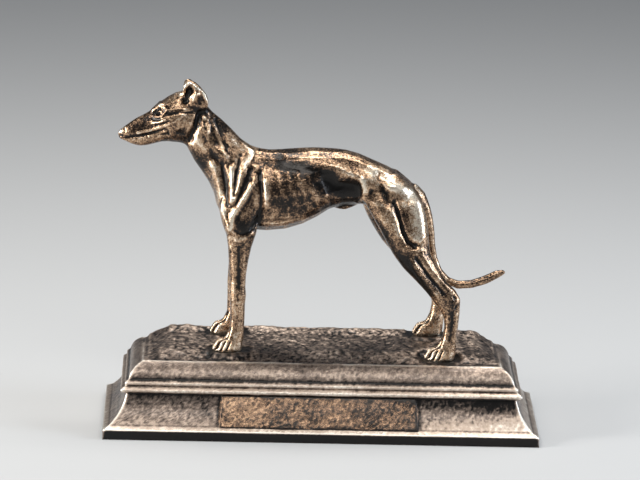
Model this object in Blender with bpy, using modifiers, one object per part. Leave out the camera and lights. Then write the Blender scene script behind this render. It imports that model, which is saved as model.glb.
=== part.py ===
"""A cast greyhound that stands on a stepped rectangular plinth.

Metres, +Z up. The origin is at the middle of the plinth's underside, the dog looks along -X,
and its near side faces -Y.
"""

import math

import bmesh
import bpy
import numpy as np
from mathutils import Vector

# Plinth, from the floor up. Each inset is measured from the rim's outer face.
RIM_LENGTH = 0.280
RIM_DEPTH = 0.108
RIM_HEIGHT = 0.0064
LEDGE_INSET = 0.0040
LEDGE_RISE = 0.0020
PANEL_INSET = 0.0107
PANEL_HEIGHT = 0.0185
PANEL_HOLLOW = 0.0016
BEAD_OUT = 0.0037
BEAD_RADIUS = 0.0013
BEAD_STEP = 0.0025
BEAD_PITCH = 0.0040
BEAD_ANGLES = (-60, -20, 20, 60)
OVOLO_INSET = 0.0088
OVOLO_HEIGHT = 0.0101
OVOLO_BEND = (0.14, 0.68)
CURVE_STEPS = 6
TABLET_LENGTH = 0.1285
TABLET_TAPER = 0.0018
TABLET_PROUD = 0.0010

# Ground on top of the plinth.
GROUND_RISE = 0.0105
GROUND_STEP = 0.0040
LUMP_HEIGHT = 0.0006
PAD_MARGIN = 0.0022
PAD_FADE = 1.9
# How the rise comes from the near edge, at 0, to the far edge, at 1: share, start and end.
MOUND = ((0.45, 0.0, 0.3), (0.30, 0.25, 0.8), (0.25, 0.7, 0.9))
MOUND_FALL = 0.88
# At each end the mound falls to this share, over this share of the half length.
END_SHARE = 0.25
END_FADE = 0.16
# How far the lumps stay off the long edges and the ends, as shares of depth and half length.
LUMPS_OFF = (0.12, 0.03)
# Lumps: share of their height, turns per metre along X and Y, and how much they wander.
LUMP_WAVES = ((1.0, 49.0, 67.0, 1.9), (0.6, 121.0, 110.0, 0.8))

# Figure.
FIGURE_HEIGHT = 0.178
FIGURE_GAP = 0.0003
VOXEL = 0.0008
SOFTEN_FUSED = 6
SOFTEN_CARVED = 2
FIGURE_TRIANGLES = 7600

# The figure is drawn in hundredths of its height, from the plinth's top edge up.
UNIT = FIGURE_HEIGHT / 100
SECTION_POINTS = 20

# Side view of nose, head, neck and trunk: top x, top z, bottom x, bottom z, half width,
# and how much wider the section is at its top than at its middle.
TRUNK = (
    (-75.3, 80.7, -74.9, 78.4, 1.0, 0.0),
    (-73.7, 82.3, -72.7, 77.4, 1.9, -0.1),
    (-71.0, 84.4, -69.9, 76.2, 2.4, -0.15),
    (-68.5, 86.2, -67.2, 75.6, 2.7, -0.2),
    (-66.0, 87.5, -64.2, 76.0, 3.1, -0.2),
    (-63.9, 88.7, -61.5, 76.8, 3.7, -0.15),
    (-62.3, 90.6, -59.3, 77.4, 4.5, 0.0),
    (-60.3, 92.0, -57.3, 77.5, 5.2, 0.1),
    (-57.5, 94.1, -55.0, 77.3, 5.7, 0.12),
    (-54.5, 95.8, -53.0, 77.1, 5.9, 0.1),
    (-51.0, 96.6, -51.4, 76.8, 5.8, 0.1),
    (-47.5, 95.4, -50.3, 75.8, 5.4, 0.05),
    (-44.2, 92.2, -49.2, 73.6, 5.0, 0.0),
    (-41.6, 89.1, -47.6, 70.6, 4.9, 0.0),
    (-38.0, 86.2, -45.0, 67.0, 5.3, 0.0),
    (-34.5, 82.9, -42.4, 63.2, 6.2, 0.0),
    (-31.0, 79.2, -40.4, 59.2, 7.4, -0.05),
    (-27.3, 76.7, -39.3, 54.8, 8.6, -0.1),
    (-24.0, 75.7, -37.4, 50.6, 9.4, -0.1),
    (-20.5, 75.3, -34.0, 46.9, 10.0, -0.1),
    (-16.5, 75.5, -28.0, 45.6, 10.4, -0.08),
    (-12.8, 75.8, -21.0, 45.3, 10.7, -0.05),
    (-8.5, 76.2, -14.3, 46.0, 10.6, 0.0),
    (-4.5, 76.4, -8.1, 48.0, 10.2, 0.03),
    (-1.0, 76.3, -2.8, 50.8, 9.6, 0.06),
    (3.0, 76.1, 1.5, 53.7, 8.8, 0.12),
    (7.0, 75.7, 6.5, 55.4, 8.2, 0.16),
    (11.8, 74.4, 11.5, 55.8, 8.0, 0.16),
    (17.3, 72.0, 17.0, 55.5, 8.5, 0.12),
    (22.8, 69.6, 22.0, 54.0, 9.2, 0.08),
    (27.9, 66.4, 26.5, 53.0, 9.0, 0.05),
    (31.2, 64.0, 30.2, 52.5, 7.8, 0.0),
    (33.8, 61.0, 33.0, 53.5, 5.6, 0.0),
    (35.6, 57.8, 35.0, 55.8, 2.6, 0.0),
)

# Legs and toes run this far below the sole, where they are cut flat.
SOLE_OVERRUN = 0.8
# Legs: front x, front z, back x, back z, distance from the middle plane, half width.
# Heights run from the sole at 0 up, as on a leg that stands at the plinth's top edge.
FORELEG = (
    (-29.5, 73.0, -26.5, 73.4, 3.6, 1.6),
    (-33.0, 68.0, -24.6, 69.0, 5.2, 3.0),
    (-36.6, 61.0, -23.8, 62.0, 6.4, 3.9),
    (-38.4, 54.6, -23.8, 54.6, 7.0, 4.3),
    (-37.3, 49.4, -24.0, 49.0, 7.4, 4.2),
    (-35.5, 44.6, -24.6, 45.4, 7.7, 3.8),
    (-34.9, 40.4, -26.1, 40.6, 7.9, 3.3),
    (-34.5, 35.2, -27.2, 35.2, 8.0, 2.9),
    (-34.1, 29.0, -28.0, 29.0, 8.1, 2.6),
    (-34.0, 24.6, -28.1, 25.0, 8.2, 2.6),
    (-34.0, 21.6, -27.8, 21.6, 8.2, 2.9),
    (-33.7, 18.2, -28.1, 18.2, 8.2, 2.6),
    (-33.5, 13.2, -28.1, 13.2, 8.2, 2.3),
    (-33.5, 9.2, -28.3, 8.8, 8.2, 2.6),
    (-34.6, 6.2, -28.5, 5.6, 8.2, 3.0),
    (-35.0, 3.0, -28.7, 2.6, 8.2, 3.2),
    (-34.6, -SOLE_OVERRUN, -29.2, -SOLE_OVERRUN, 8.2, 2.9),
)
HIND_LEG = (
    (16.0, 69.0, 26.0, 68.0, 3.0, 2.4),
    (13.0, 64.0, 31.4, 63.4, 4.4, 4.2),
    (13.4, 59.0, 35.4, 57.8, 5.6, 5.0),
    (17.0, 52.8, 37.2, 50.6, 7.0, 5.1),
    (19.9, 48.0, 37.7, 45.8, 8.0, 4.9),
    (22.4, 43.4, 37.9, 42.4, 8.8, 4.6),
    (25.0, 38.9, 38.4, 39.9, 9.5, 4.1),
    (28.5, 34.4, 39.8, 36.8, 10.3, 3.6),
    (33.4, 29.5, 41.9, 33.4, 10.5, 3.1),
    (37.3, 25.3, 44.4, 29.6, 10.6, 2.7),
    (39.8, 22.0, 47.6, 26.8, 10.6, 2.7),
    (41.9, 19.2, 49.7, 23.2, 10.5, 2.8),
    (43.6, 16.4, 49.6, 18.2, 10.4, 2.5),
    (44.0, 12.8, 49.2, 13.4, 10.3, 2.4),
    (43.4, 9.2, 48.9, 9.2, 10.2, 2.6),
    (42.2, 6.0, 48.7, 5.6, 10.1, 3.0),
    (41.8, 3.0, 48.5, 2.6, 10.1, 3.2),
    (42.2, -SOLE_OVERRUN, 48.0, -SOLE_OVERRUN, 10.1, 2.9),
)
# Each foot: leg, side, sole height, how far the leg is moved along X, and the heights
# between which that move fades out.
FEET = (
    (FORELEG, -1, 2.2, 0.0, (10.0, 40.0)),
    (FORELEG, 1, 4.3, -1.2, (10.0, 40.0)),
    (HIND_LEG, -1, 0.7, 0.0, (44.0, 64.0)),
    (HIND_LEG, 1, 4.7, -3.9, (46.0, 66.0)),
)
SOLE_FADE = 56.0
# How much wider a paw is than its leg's section there.
TOES_OUT = 0.6
# A sole's cutter against the paw's half size, and its depth in metres.
CUTTER_SPAN = 2.6
CUTTER_DEPTH = 0.02
# Toes of one paw: sideways place and how far the tip stays behind the longest toe.
TOES = ((-2.45, 1.5), (-0.85, 0.0), (0.85, 0.0), (2.45, 1.5))
# One toe, from its tip back: x behind the tip, top z, half width.
TOE = ((0.0, 1.3, 0.4), (0.7, 2.7, 0.95), (2.0, 4.1, 1.15), (4.0, 4.8, 1.15), (6.4, 5.4, 1.0))
TOE_REACH = 4.6
TOE_LEAN = 0.2

# Tail: x, z and radius along its middle line.
TAIL = (
    (31.0, 62.0, 2.6),
    (34.2, 59.0, 2.4),
    (36.2, 55.0, 2.0),
    (37.6, 50.5, 1.75),
    (38.5, 45.5, 1.6),
    (39.0, 40.5, 1.5),
    (39.9, 35.8, 1.5),
    (41.8, 31.2, 1.5),
    (44.8, 27.8, 1.55),
    (49.0, 26.2, 1.6),
    (54.0, 26.6, 1.55),
    (59.0, 28.3, 1.4),
    (63.2, 30.5, 1.15),
    (66.0, 31.5, 0.5),
)

# Sheath under the belly, as sections of the trunk.
SHEATH = (
    (2.6, 57.0, 2.6, 55.0, 0.6),
    (4.4, 57.0, 4.4, 53.7, 1.2),
    (7.6, 57.5, 7.4, 53.4, 1.3),
    (12.0, 58.0, 11.6, 55.2, 1.1),
)

# Ears: their middle in the side view, half length, half width and half thickness of the
# flap, how much narrower its tip is, and its lean back and outward.
EAR_PLACE = (-47.9, 95.2)
EAR_SIZE = (6.7, 3.9, 1.8)
EAR_TIP_TAPER = 0.35
EAR_LEAN = math.radians(30)
EAR_SPLAY = 0.16
EAR_SIDE = 4.1
FAR_EAR_DROP = 1.5
# Where the carving of the ears starts: height, the height over which it fades in, and how
# far in front of the ears' middle.
EAR_FOOT = 91.5
EAR_FOOT_FADE = 1.5
EAR_FRONT = 5.5

# Carving on both flanks: height of the ridge (below 0 for a groove), its half width,
# and its line in the side view.
RIDGES = (
    (0.8, 1.5, ((-40.8, 70.0), (-38.9, 64.0), (-37.7, 58.0), (-36.0, 52.5), (-34.6, 48.0))),
    (-0.6, 0.9, ((-37.6, 71.0), (-36.0, 63.0), (-35.4, 57.0))),
    (0.6, 1.0, ((-33.9, 70.0), (-33.8, 63.5), (-34.0, 58.0))),
    (-0.5, 0.9, ((-31.0, 74.0), (-32.2, 67.0), (-32.6, 60.5))),
    (0.6, 1.1, ((-26.9, 75.0), (-29.3, 71.0), (-31.4, 65.0), (-32.8, 59.0))),
    (-0.5, 1.0, ((-26.6, 69.5), (-29.0, 62.5), (-32.0, 57.0))),
    (0.8, 1.2, ((-26.6, 64.5), (-30.2, 58.3), (-33.4, 53.0), (-34.0, 47.8))),
    (-0.9, 1.1, ((-23.9, 68.0), (-23.4, 63.0), (-23.2, 57.0), (-23.6, 52.0), (-26.0, 48.4))),
    (0.7, 1.5, ((-21.9, 66.0), (-21.2, 61.0), (-21.4, 56.5))),
    (0.35, 2.2, ((-9.5, 67.5), (-5.5, 62.5), (-1.0, 59.0))),
    (0.4, 1.2, ((-22.0, 49.4), (-15.5, 49.6), (-8.0, 51.8))),
    (0.6, 1.6, ((-14.0, 73.6), (-2.3, 72.9), (4.9, 70.4), (10.4, 67.6))),
    (-1.8, 3.0, ((0.0, 66.0), (4.5, 64.0), (9.6, 63.4))),
    (0.8, 1.4, ((13.0, 66.5), (14.3, 62.0), (13.4, 58.0))),
    (0.9, 2.0, ((24.5, 64.5), (27.5, 63.0))),
    (-0.7, 1.6, ((19.0, 67.5), (21.0, 62.0), (22.5, 58.5))),
    (-1.3, 1.1, ((24.6, 59.0), (26.6, 53.4), (28.3, 48.0), (29.9, 45.0), (32.4, 43.6))),
    (0.6, 2.0, ((33.0, 59.0), (34.6, 52.0), (35.2, 46.0))),
    (-0.8, 0.8, ((33.2, 38.8), (38.3, 31.6), (43.4, 26.0))),
    (0.4, 0.7, ((31.4, 37.4), (36.6, 30.2), (41.6, 24.6))),
    (0.5, 1.0, ((-60.2, 85.6), (-56.0, 87.6), (-51.5, 89.8))),
    (0.8, 3.0, ((-55.0, 84.0), (-53.6, 85.6))),
    (0.9, 0.9, ((-63.6, 89.9), (-62.3, 91.2), (-60.4, 91.3))),
    (-1.0, 0.8, ((-62.2, 88.4), (-60.8, 89.2))),
    (-0.5, 0.6, ((-72.6, 79.2), (-69.0, 79.7), (-65.2, 80.7), (-61.0, 81.4), (-57.4, 81.2))),
    (-1.4, 1.3, ((-45.8, 88.5), (-47.4, 83.5), (-49.4, 79.0))),
    (0.8, 1.5, ((-44.0, 84.0), (-41.5, 77.5), (-36.0, 73.5))),
)
# The same for the ears, which are out of the flanks' reach.
EAR_RIDGES = (
    (-1.7, 1.1, ((-51.2, 93.2), (-50.6, 95.4), (-49.6, 97.6))),
    (0.5, 0.8, ((-52.9, 95.0), (-51.2, 99.4), (-49.0, 101.4), (-46.8, 98.0), (-47.4, 94.0))),
    (-0.6, 1.0, ((-45.6, 94.6), (-46.4, 90.4))),
)
# Carving fades out between these sideways parts of the surface's normal.
CARVED_FACING = (0.15, 0.7)

PLINTH_COLOUR = (0.045, 0.034, 0.026)
FIGURE_COLOUR = (0.060, 0.042, 0.030)


def smooth_step(low, high, value):
    t = np.clip((np.asarray(value, float) - low) / (high - low), 0.0, 1.0)
    return t * t * (3.0 - 2.0 * t)


def new_collection(name):
    collection = bpy.data.collections.new(name)
    bpy.context.scene.collection.children.link(collection)
    return collection


def new_object(name, bm, collection):
    mesh = bpy.data.meshes.new(name)
    bmesh.ops.recalc_face_normals(bm, faces=bm.faces)
    bm.to_mesh(mesh)
    bm.free()
    obj = bpy.data.objects.new(name, mesh)
    collection.objects.link(obj)
    return obj


def add_loft(bm, rings):
    """Skins rings of equal length and closes both ends."""
    rows = [[bm.verts.new(point) for point in ring] for ring in rings]
    for first, second in zip(rows, rows[1:]):
        for i in range(len(first)):
            j = (i + 1) % len(first)
            bm.faces.new((first[i], first[j], second[j], second[i]))
    bm.faces.new(rows[0])
    bm.faces.new(reversed(rows[-1]))


def section(top, bottom, side, half_width, top_share=0.0):
    """An oval whose highest and lowest points, seen from the side, are top and bottom."""
    middle = ((top[0] + bottom[0]) / 2, (top[1] + bottom[1]) / 2)
    reach = ((top[0] - bottom[0]) / 2, (top[1] - bottom[1]) / 2)
    points = []
    for i in range(SECTION_POINTS):
        angle = 2 * math.pi * i / SECTION_POINTS
        up = math.cos(angle)
        out = math.sin(angle) * half_width * (1 + top_share * up)
        x = middle[0] + up * reach[0]
        z = middle[1] + up * reach[1]
        points.append(Vector((x, side + out, z)))
    return points


def placed(points, top_edge):
    """Figure units to metres."""
    return [Vector((p.x * UNIT, p.y * UNIT, p.z * UNIT + top_edge)) for p in points]


def panel_foot():
    return LEDGE_INSET, RIM_HEIGHT + LEDGE_RISE


def panel_head():
    inset, height = panel_foot()
    return inset + PANEL_INSET, height + PANEL_HEIGHT


def plinth_levels():
    """Each level of the mouldings as its inset from the rim and its height."""
    foot = panel_foot()
    head = panel_head()
    levels = [(0.0, 0.0), (0.0, RIM_HEIGHT)]
    for step in range(CURVE_STEPS + 1):
        share = step / CURVE_STEPS
        hollow = PANEL_HOLLOW * math.sin(math.pi * share)
        inset = foot[0] + PANEL_INSET * share + hollow
        levels.append((inset, foot[1] + PANEL_HEIGHT * share - hollow / 2))
    inset = head[0] - BEAD_OUT
    height = head[1] + 2 * BEAD_RADIUS
    for _ in range(2):
        for angle in BEAD_ANGLES:
            turn = math.radians(angle)
            out = BEAD_RADIUS * math.cos(turn)
            levels.append((inset + BEAD_RADIUS - out, height + BEAD_RADIUS * math.sin(turn)))
        inset += BEAD_STEP
        height += BEAD_PITCH
    start = Vector((head[0] + BEAD_STEP / 2, height - BEAD_PITCH + 2 * BEAD_RADIUS))
    bend = start + Vector((OVOLO_BEND[0] * OVOLO_INSET, OVOLO_BEND[1] * OVOLO_HEIGHT))
    end = start + Vector((OVOLO_INSET, OVOLO_HEIGHT))
    for step in range(CURVE_STEPS + 1):
        share = step / CURVE_STEPS
        point = start.lerp(bend, share).lerp(bend.lerp(end, share), share)
        levels.append((point.x, point.y))
    return levels


def top_edge_height():
    return plinth_levels()[-1][1]


def top_half_size():
    inset = plinth_levels()[-1][0]
    return RIM_LENGTH / 2 - inset, RIM_DEPTH / 2 - inset


def paw_section(leg):
    return leg[-2]


def foot_places():
    """Each paw's middle x, y, half length, half width and sole height, in metres."""
    places = []
    for leg, side, sole, shift, _ in FEET:
        front, _, back, _, spread, width = paw_section(leg)
        tip = front - TOE_REACH
        x = ((tip + back) / 2 + shift) * UNIT
        half = (back - tip) / 2 * UNIT
        height = sole * UNIT + top_edge_height()
        places.append((x, side * spread * UNIT, half, (width + TOES_OUT) * UNIT, height))
    return places


def ground_height(x, y):
    """Height of the rough ground over the plinth's top edge."""
    half_x, half_y = top_half_size()
    across = (y + half_y) / (2 * half_y)
    from_end = 1 - np.abs(x) / half_x
    rise = sum(share * smooth_step(start, end, across) for share, start, end in MOUND)
    rise = rise * (1 - smooth_step(MOUND_FALL, 1.0, across))
    rise = rise * (END_SHARE + (1 - END_SHARE) * smooth_step(0.0, END_FADE, from_end))
    from_edge = np.minimum(across, 1 - across)
    inside = smooth_step(0.0, LUMPS_OFF[0], from_edge) * smooth_step(0.0, LUMPS_OFF[1], from_end)
    lumps = 0.0
    for share, along_x, along_y, wander in LUMP_WAVES:
        turn_x = 2 * math.pi * along_x * x
        turn_y = 2 * math.pi * along_y * y
        sway_x = wander * np.sin(turn_y / 2)
        sway_y = wander * np.sin(turn_x / 2)
        lumps = lumps + share * np.sin(turn_x + sway_x) * np.sin(turn_y + sway_y)
    height = GROUND_RISE * rise + LUMP_HEIGHT * lumps * inside
    for px, py, half, width, sole in foot_places():
        pad = sole - FIGURE_GAP - top_edge_height()
        away = np.hypot((x - px) / (half + PAD_MARGIN), (y - py) / (width + PAD_MARGIN))
        weight = 1 - smooth_step(1.0, PAD_FADE, away)
        height = height * (1 - weight) + pad * weight
    return height


def corners(inset, height):
    x = RIM_LENGTH / 2 - inset
    y = RIM_DEPTH / 2 - inset
    return [Vector(p) for p in ((-x, -y, height), (x, -y, height), (x, y, height), (-x, y, height))]


def build_plinth(collection):
    levels = plinth_levels()
    half_x, half_y = top_half_size()
    edge = top_edge_height()
    bm = bmesh.new()
    rows = [[bm.verts.new(point) for point in corners(*level)] for level in levels[:-1]]
    for first, second in zip(rows, rows[1:]):
        for i in range(4):
            j = (i + 1) % 4
            bm.faces.new((first[i], first[j], second[j], second[i]))
    bm.faces.new(reversed(rows[0]))
    columns = round(2 * half_x / GROUND_STEP)
    lines = round(2 * half_y / GROUND_STEP)
    grid = []
    for row in range(lines + 1):
        y = -half_y + 2 * half_y * row / lines
        grid.append([])
        for column in range(columns + 1):
            x = -half_x + 2 * half_x * column / columns
            rim = row in (0, lines) or column in (0, columns)
            z = edge if rim else edge + float(ground_height(x, y))
            grid[-1].append(bm.verts.new((x, y, z)))
    for lower, upper in zip(grid, grid[1:]):
        for i in range(columns):
            bm.faces.new((lower[i], lower[i + 1], upper[i + 1], upper[i]))
    sides = (
        grid[0],
        [row[-1] for row in grid],
        grid[-1][::-1],
        [row[0] for row in grid][::-1],
    )
    for i, side in enumerate(sides):
        bm.faces.new([rows[-1][i], rows[-1][(i + 1) % 4], *reversed(side)])
    return new_object("plinth", bm, collection)


def as_cutter(obj):
    obj.hide_render = True
    obj.display_type = "WIRE"


def build_tablet(collection, side):
    """The flat slab in the middle of a long side's panel, as a block that is joined to it."""
    foot = panel_foot()
    head = panel_head()
    bm = bmesh.new()
    bmesh.ops.create_cube(bm, size=2.0)
    for vert in bm.verts:
        inset, height = head if vert.co.z > 0 else foot
        half = TABLET_LENGTH / 2 - (TABLET_TAPER if vert.co.z > 0 else 0.0)
        face = RIM_DEPTH / 2 - inset + TABLET_PROUD
        buried = RIM_DEPTH / 2 - head[0] - PANEL_INSET / 2
        deep = face if vert.co.y * side > 0 else buried
        vert.co = Vector((vert.co.x * half, side * deep, height))
    tablet = new_object("tablet_near" if side < 0 else "tablet_far", bm, collection)
    as_cutter(tablet)
    return tablet


def leg_rings(foot, top_edge):
    leg, side, sole, shift, fade = foot
    rings = []
    for front_x, front_z, back_x, back_z, spread, width in leg:
        points = section((front_x, front_z), (back_x, back_z), side * spread, width)
        for p in points:
            p.x += shift * (1 - float(smooth_step(*fade, p.z)))
            p.z += sole * (1 - min(max(p.z / SOLE_FADE, 0.0), 1.0))
        rings.append(placed(points, top_edge))
    return rings


def toe_rings(foot, toe, top_edge):
    leg, side, sole, shift, _ = foot
    front, _, _, _, spread, _ = paw_section(leg)
    place, behind = toe
    tip = front - TOE_REACH + behind + shift
    rings = []
    for back, height, width in TOE:
        top = (tip + back, sole + height)
        bottom = (tip + back + TOE_LEAN, sole - SOLE_OVERRUN)
        rings.append(placed(section(top, bottom, side * spread + place, width), top_edge))
    return rings


def tail_rings(top_edge):
    rings = []
    for i, (x, z, radius) in enumerate(TAIL):
        before = TAIL[max(i - 1, 0)]
        after = TAIL[min(i + 1, len(TAIL) - 1)]
        along = Vector((after[0] - before[0], 0.0, after[1] - before[1])).normalized()
        across = Vector((-along.z, 0.0, along.x)) * radius
        points = section((x + across.x, z + across.z), (x - across.x, z - across.z), 0.0, radius)
        rings.append(placed(points, top_edge))
    return rings


def add_ear(bm, side, top_edge):
    drop = FAR_EAR_DROP if side > 0 else 0.0
    x, z = EAR_PLACE
    made = bmesh.ops.create_uvsphere(bm, u_segments=20, v_segments=12, radius=1.0)
    long, wide, thick = EAR_SIZE
    for vert in made["verts"]:
        p = vert.co
        along = p.z * long
        across = p.x * wide * (1 - EAR_TIP_TAPER * p.z)
        out = EAR_SIDE + p.y * thick + EAR_SPLAY * along
        back = across * math.cos(EAR_LEAN) - along * math.sin(EAR_LEAN)
        up = along * math.cos(EAR_LEAN) + across * math.sin(EAR_LEAN)
        vert.co = placed([Vector((x + back, side * out, z - drop + up))], top_edge)[0]


def distance_to_line(points, line):
    """Distance of each (x, z) point to a polyline."""
    best = np.full(len(points), 1e9)
    for start, end in zip(line, line[1:]):
        a = np.array(start)
        along = np.array(end) - a
        t = np.clip(((points - a) @ along) / (along @ along), 0.0, 1.0)
        away = points - (a + t[:, None] * along)
        best = np.minimum(best, np.hypot(away[:, 0], away[:, 1]))
    return best


def carve(mesh, top_edge):
    """Raises the muscle ridges and cuts the grooves on both sides of the figure."""
    count = len(mesh.vertices)
    place = np.empty(count * 3)
    normal = np.empty(count * 3)
    mesh.vertices.foreach_get("co", place)
    mesh.vertices.foreach_get("normal", normal)
    place = place.reshape(-1, 3)
    normal = normal.reshape(-1, 3)
    side_view = np.stack([place[:, 0], place[:, 2] - top_edge], axis=1) / UNIT
    facing = smooth_step(*CARVED_FACING, np.abs(normal[:, 1]))
    outward = place[:, 1] * normal[:, 1] > 0
    on_ear = smooth_step(EAR_FOOT, EAR_FOOT + EAR_FOOT_FADE, side_view[:, 1])
    on_ear = on_ear * (side_view[:, 0] > EAR_PLACE[0] - EAR_FRONT)
    ear_view = side_view + np.outer(place[:, 1] > 0, (0.0, FAR_EAR_DROP))
    height = np.zeros(count)
    for ridge, width, line in RIDGES:
        height += ridge * np.exp(-((distance_to_line(side_view, line) / width) ** 2))
    for ridge, width, line in EAR_RIDGES:
        height += ridge * on_ear * np.exp(-((distance_to_line(ear_view, line) / width) ** 2))
    place += normal * (height * facing * outward * UNIT)[:, None]
    mesh.vertices.foreach_set("co", place.ravel())
    mesh.update()


def bake(obj):
    """Replaces the object's mesh by the mesh that its modifiers give."""
    graph = bpy.context.evaluated_depsgraph_get()
    made = bpy.data.meshes.new_from_object(obj.evaluated_get(graph))
    old = obj.data
    obj.modifiers.clear()
    obj.data = made
    bpy.data.meshes.remove(old)


def add_soften(obj, iterations):
    soften = obj.modifiers.new("Soften", "SMOOTH")
    soften.factor = 0.5
    soften.iterations = iterations


def build_greyhound(collection, cutters):
    top_edge = top_edge_height()
    bm = bmesh.new()
    trunk = [
        placed(section((a, b), (c, d), 0.0, width, share), top_edge)
        for a, b, c, d, width, share in TRUNK
    ]
    add_loft(bm, trunk)
    for foot in FEET:
        add_loft(bm, leg_rings(foot, top_edge))
        for toe in TOES:
            add_loft(bm, toe_rings(foot, toe, top_edge))
    add_loft(bm, tail_rings(top_edge))
    sheath = [placed(section((a, b), (c, d), 0.0, width), top_edge) for a, b, c, d, width in SHEATH]
    add_loft(bm, sheath)
    for side in (-1, 1):
        add_ear(bm, side, top_edge)
    greyhound = new_object("greyhound", bm, collection)
    remesh = greyhound.modifiers.new("Fuse", "REMESH")
    remesh.mode = "VOXEL"
    remesh.voxel_size = VOXEL
    add_soften(greyhound, SOFTEN_FUSED)
    bake(greyhound)
    carve(greyhound.data, top_edge)
    add_soften(greyhound, SOFTEN_CARVED)
    thin = greyhound.modifiers.new("Thin", "DECIMATE")
    thin.ratio = FIGURE_TRIANGLES / (2 * len(greyhound.data.polygons))
    bake(greyhound)
    for i, (x, y, half, width, sole) in enumerate(foot_places()):
        bpy.ops.mesh.primitive_cube_add(size=1.0, location=(x, y, sole - CUTTER_DEPTH / 2))
        block = bpy.context.active_object
        block.name = f"sole_cutter_{i + 1}"
        block.scale = (CUTTER_SPAN * half, CUTTER_SPAN * width, CUTTER_DEPTH)
        as_cutter(block)
        for old in block.users_collection:
            old.objects.unlink(block)
        cutters.objects.link(block)
        cut = greyhound.modifiers.new(f"Sole {i + 1}", "BOOLEAN")
        cut.operation = "DIFFERENCE"
        cut.object = block
    return greyhound


def material(name, colour, roughness, metallic):
    made = bpy.data.materials.new(name)
    made.use_nodes = True
    shader = made.node_tree.nodes["Principled BSDF"]
    shader.inputs["Base Color"].default_value = (*colour, 1.0)
    shader.inputs["Roughness"].default_value = roughness
    shader.inputs["Metallic"].default_value = metallic
    return made


def main():
    for obj in list(bpy.data.objects):
        bpy.data.objects.remove(obj)
    parts = new_collection("greyhound_statue")
    cutters = new_collection("cutters")
    cutters.hide_render = True
    plinth = build_plinth(parts)
    for side in (-1, 1):
        join = plinth.modifiers.new("Tablet", "BOOLEAN")
        join.operation = "UNION"
        join.object = build_tablet(cutters, side)
    plinth.data.materials.append(material("plinth_patina", PLINTH_COLOUR, 0.55, 0.8))
    greyhound = build_greyhound(parts, cutters)
    greyhound.data.materials.append(material("figure_patina", FIGURE_COLOUR, 0.42, 0.85))


main()
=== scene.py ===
"""Dresses the cast greyhound statue: fine carving, rough ground, mouldings, rubbed patina and stage."""

import math

import bmesh
import bpy
import numpy as np
from mathutils import Matrix, Vector, noise


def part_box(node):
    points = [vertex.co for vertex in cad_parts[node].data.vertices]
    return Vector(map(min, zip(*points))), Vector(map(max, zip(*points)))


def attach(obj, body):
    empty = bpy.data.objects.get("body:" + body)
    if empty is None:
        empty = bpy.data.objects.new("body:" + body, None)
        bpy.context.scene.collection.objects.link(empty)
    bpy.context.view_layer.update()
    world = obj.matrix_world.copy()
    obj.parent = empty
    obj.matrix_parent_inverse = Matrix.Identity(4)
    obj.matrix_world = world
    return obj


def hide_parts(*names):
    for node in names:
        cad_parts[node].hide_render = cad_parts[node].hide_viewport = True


bl_info = {
    "name": "Greyhound Statue",
    "version": (1, 0, 0),
    "blender": (4, 5, 0),
    "location": "3D View > Sidebar > Statue",
    "description": "Carves and finishes a cast greyhound on its plinth",
    "category": "Object",
}

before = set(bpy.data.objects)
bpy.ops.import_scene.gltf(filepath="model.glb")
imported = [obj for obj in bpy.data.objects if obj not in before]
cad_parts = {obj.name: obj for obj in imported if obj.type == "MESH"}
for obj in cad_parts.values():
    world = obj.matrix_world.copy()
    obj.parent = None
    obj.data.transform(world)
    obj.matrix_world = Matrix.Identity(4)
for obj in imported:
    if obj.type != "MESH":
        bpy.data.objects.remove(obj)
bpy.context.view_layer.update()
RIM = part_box("plinth")[1]

# The figure is drawn in hundredths of its height, from the plinth's top edge up.
FIGURE_HEIGHT = 0.178
UNIT = FIGURE_HEIGHT / 100

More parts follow.
